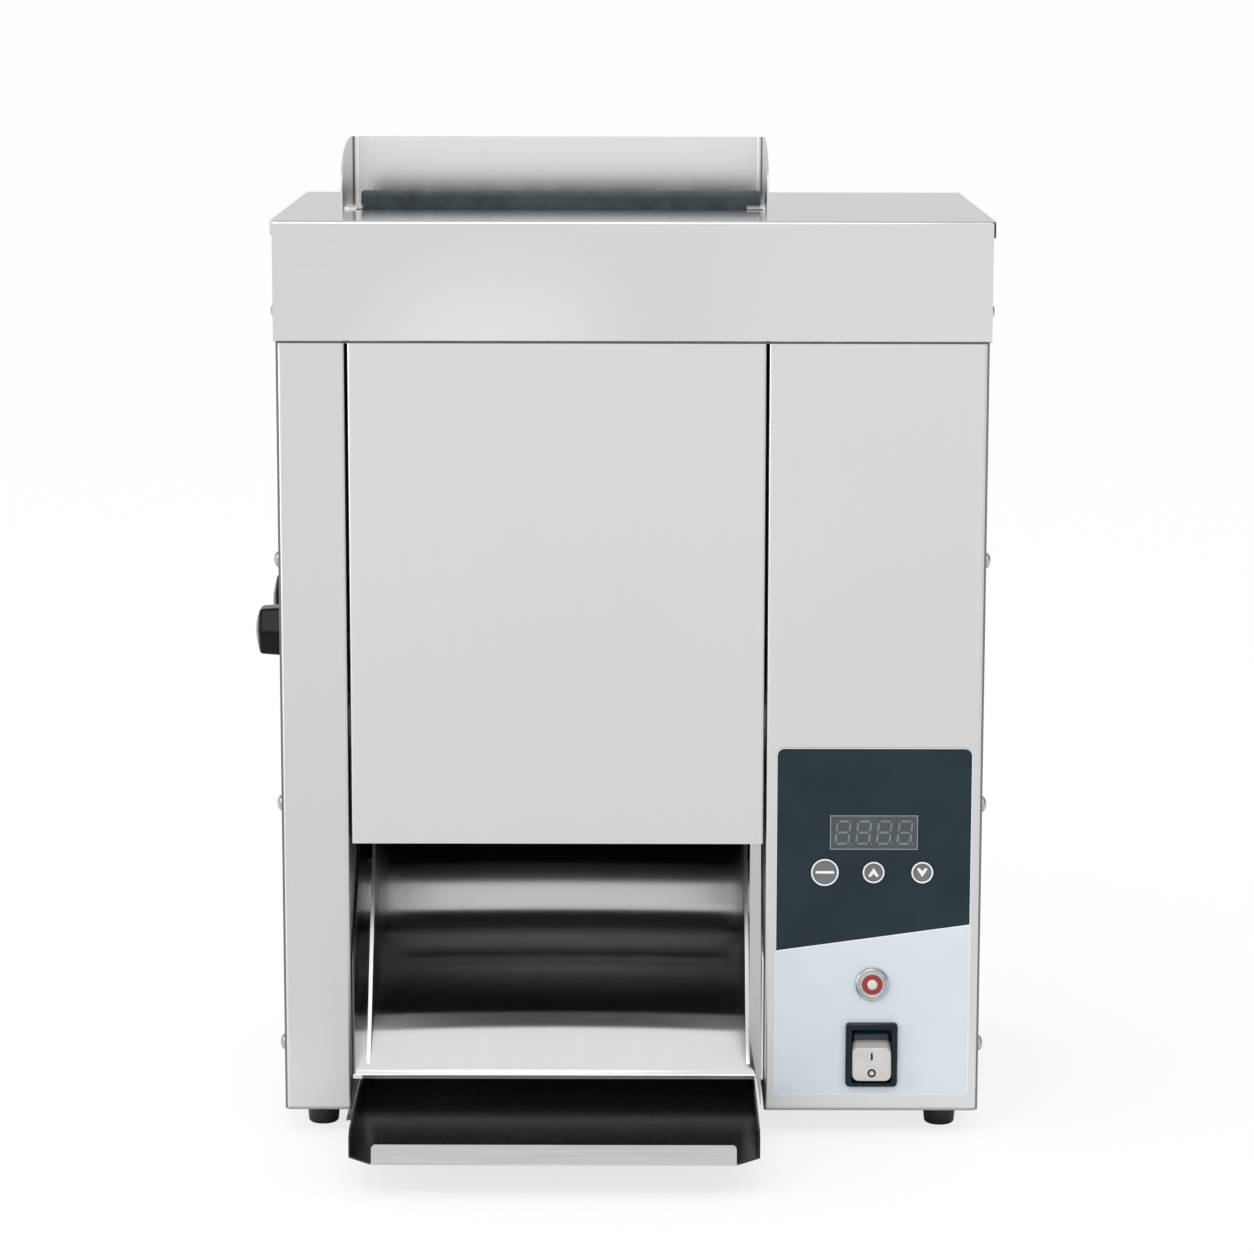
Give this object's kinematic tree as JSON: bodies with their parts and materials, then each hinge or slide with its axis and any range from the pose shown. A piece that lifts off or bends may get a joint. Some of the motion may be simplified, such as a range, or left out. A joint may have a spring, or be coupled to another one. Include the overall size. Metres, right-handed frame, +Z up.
{
  "type": "vertical bun toaster",
  "caption": "Free-standing vertical contact bun toaster in brushed steel with a slotted top, bun guard, curved exit chute, pull-out tray and a control panel.",
  "frame": {"origin": "on the table under the middle of the outline", "axes": "+Z up, -Y towards the front with the tray"},
  "size_m": [0.463, 0.4292, 0.618],
  "materials": {
    "panel_steel": "satin brushed sheet",
    "plated_steel": "zinc plated",
    "aluminium": "machined",
    "release_fabric": "coated glass cloth",
    "belt_silicone": "moulded silicone",
    "bronze": "turned",
    "ceramic": "fired ceramic",
    "black_plastic": "moulded",
    "nonstick": "black non-stick coating",
    "overlay_film": "printed film",
    "display_window": "tinted window",
    "key_plastic": "moulded",
    "chrome": "polished",
    "red_lens": "clear red",
    "switch_black": "moulded",
    "rocker_silver": "silver lacquer",
    "board": "coated laminate",
    "foot_rubber": "moulded",
    "idler_plastic": "machined"
  },
  "bodies": {
    "frame": {"left_base": "panel_steel", "right_base": "panel_steel", "left_column": "panel_steel", "control_housing": "panel_steel", "left_side_panel": "panel_steel", "right_side_panel": "panel_steel", "rear_panel": "panel_steel", "hood": "panel_steel", "front_cover": "panel_steel", "cross_rails": "plated_steel", "feet": "foot_rubber", "side_screws": "plated_steel", "rear_screws": "plated_steel", "platen": "aluminium", "cartridge_heaters": "plated_steel", "temperature_probe": "bronze", "platen_spacers": "ceramic", "release_sheet": "release_fabric", "front_belt": "belt_silicone", "rear_belt": "belt_silicone", "roller_bushes": "bronze", "guide_pins": "plated_steel", "adjuster_bushes": "bronze", "idler_gear_pins": "plated_steel", "gear_motor": "aluminium", "motor_bracket": "plated_steel", "chute": "panel_steel", "chute_guides": "panel_steel", "chute_spacers": "plated_steel", "tray_pins": "plated_steel", "control_overlay": "overlay_film", "display": "display_window", "control_board": "board", "lamp_bezel": "chrome", "lamp_lens": "red_lens", "switch_body": "switch_black", "relay": "black_plastic", "cable_gland": "black_plastic"},
    "front_drive": {"front_drive_roller": "aluminium", "front_drive_gear": "plated_steel"},
    "front_return": {"front_idler_roller": "aluminium"},
    "rear_drive": {"rear_drive_roller": "aluminium", "rear_drive_gear": "plated_steel"},
    "rear_return": {"rear_idler_roller": "aluminium"},
    "transfer_front": {"front_idler_gear": "idler_plastic"},
    "transfer_rear": {"rear_idler_gear": "idler_plastic"},
    "pinion": {"motor_pinion": "bronze"},
    "front_adjuster": {"front_knob": "black_plastic", "front_adjuster_shaft": "plated_steel"},
    "rear_adjuster": {"rear_knob": "black_plastic", "rear_adjuster_shaft": "plated_steel"},
    "front_press": {"front_pressure_plate": "plated_steel"},
    "rear_press": {"rear_pressure_plate": "plated_steel"},
    "switch_rocker": {"rocker": "rocker_silver"},
    "key_left": {"left_key": "key_plastic"},
    "key_up": {"up_key": "key_plastic"},
    "key_down": {"down_key": "key_plastic"},
    "landing_tray": {"tray": "nonstick"},
    "guard": {"bun_guard": "panel_steel"}
  },
  "joints": [
    {"name": "front_drive_spin", "type": "hinge", "parent": "frame", "child": "front_drive", "pos_m": [-0.03755, -0.0074, 0.272], "axis": [1, 0, 0], "continuous": true},
    {"name": "front_return_spin", "type": "hinge", "parent": "frame", "child": "front_return", "pos_m": [-0.03755, -0.0074, 0.548], "axis": [1, 0, 0], "continuous": true},
    {"name": "rear_drive_spin", "type": "hinge", "parent": "frame", "child": "rear_drive", "pos_m": [-0.03755, 0.1218, 0.272], "axis": [1, 0, 0], "continuous": true},
    {"name": "rear_return_spin", "type": "hinge", "parent": "frame", "child": "rear_return", "pos_m": [-0.03755, 0.1218, 0.548], "axis": [1, 0, 0], "continuous": true},
    {"name": "transfer_front_spin", "type": "hinge", "parent": "frame", "child": "transfer_front", "pos_m": [0.10625, 0.03567, 0.272], "axis": [1, 0, 0], "continuous": true},
    {"name": "transfer_rear_spin", "type": "hinge", "parent": "frame", "child": "transfer_rear", "pos_m": [0.10625, 0.07873, 0.272], "axis": [1, 0, 0], "continuous": true},
    {"name": "pinion_spin", "type": "hinge", "parent": "frame", "child": "pinion", "pos_m": [0.10625, -0.0074, 0.23662], "axis": [1, 0, 0], "continuous": true},
    {"name": "front_knob_turn", "type": "hinge", "parent": "frame", "child": "front_adjuster", "pos_m": [-0.03755, -0.0042, 0.3105], "axis": [1, 0, 0], "range_deg": [-40, 40]},
    {"name": "rear_knob_turn", "type": "hinge", "parent": "frame", "child": "rear_adjuster", "pos_m": [-0.03755, 0.1186, 0.3105], "axis": [1, 0, 0], "range_deg": [-40, 40]},
    {"name": "front_press_slide", "type": "slide", "parent": "frame", "child": "front_press", "axis": [0, 1, 0], "range_m": [-0.0029, 0.0029]},
    {"name": "rear_press_slide", "type": "slide", "parent": "frame", "child": "rear_press", "axis": [0, 1, 0], "range_m": [-0.0029, 0.0029]},
    {"name": "rocker_tilt", "type": "hinge", "parent": "frame", "child": "switch_rocker", "pos_m": [0.16035, -0.0819, 0.0504], "axis": [1, 0, 0], "range_deg": [0, 16]},
    {"name": "key_left_press", "type": "slide", "parent": "frame", "child": "key_left", "axis": [0, 1, 0], "range_m": [0, 0.0005], "stiffness_N_per_m": 800},
    {"name": "key_up_press", "type": "slide", "parent": "frame", "child": "key_up", "axis": [0, 1, 0], "range_m": [0, 0.0005], "stiffness_N_per_m": 800},
    {"name": "key_down_press", "type": "slide", "parent": "frame", "child": "key_down", "axis": [0, 1, 0], "range_m": [0, 0.0005], "stiffness_N_per_m": 800},
    {"name": "tray_withdraw", "type": "slide", "parent": "frame", "child": "landing_tray", "axis": [0, -1, 0], "range_m": [0, 0.15]},
    {"name": "guard_lift", "type": "slide", "parent": "frame", "child": "guard", "axis": [0, 0, 1], "range_m": [0, 0.06]}
  ],
  "couplings": [
    {"joint": "front_return_spin", "follows": "front_drive_spin", "ratio": 1},
    {"joint": "rear_drive_spin", "follows": "front_drive_spin", "ratio": -1},
    {"joint": "rear_return_spin", "follows": "front_drive_spin", "ratio": -1},
    {"joint": "transfer_front_spin", "follows": "front_drive_spin", "ratio": -1},
    {"joint": "transfer_rear_spin", "follows": "front_drive_spin", "ratio": 1},
    {"joint": "pinion_spin", "follows": "front_drive_spin", "ratio": -1.5556},
    {"joint": "front_press_slide", "follows": "front_knob_turn", "m_per_rad": -0.0041433},
    {"joint": "rear_press_slide", "follows": "rear_knob_turn", "m_per_rad": -0.0041433}
  ]
}
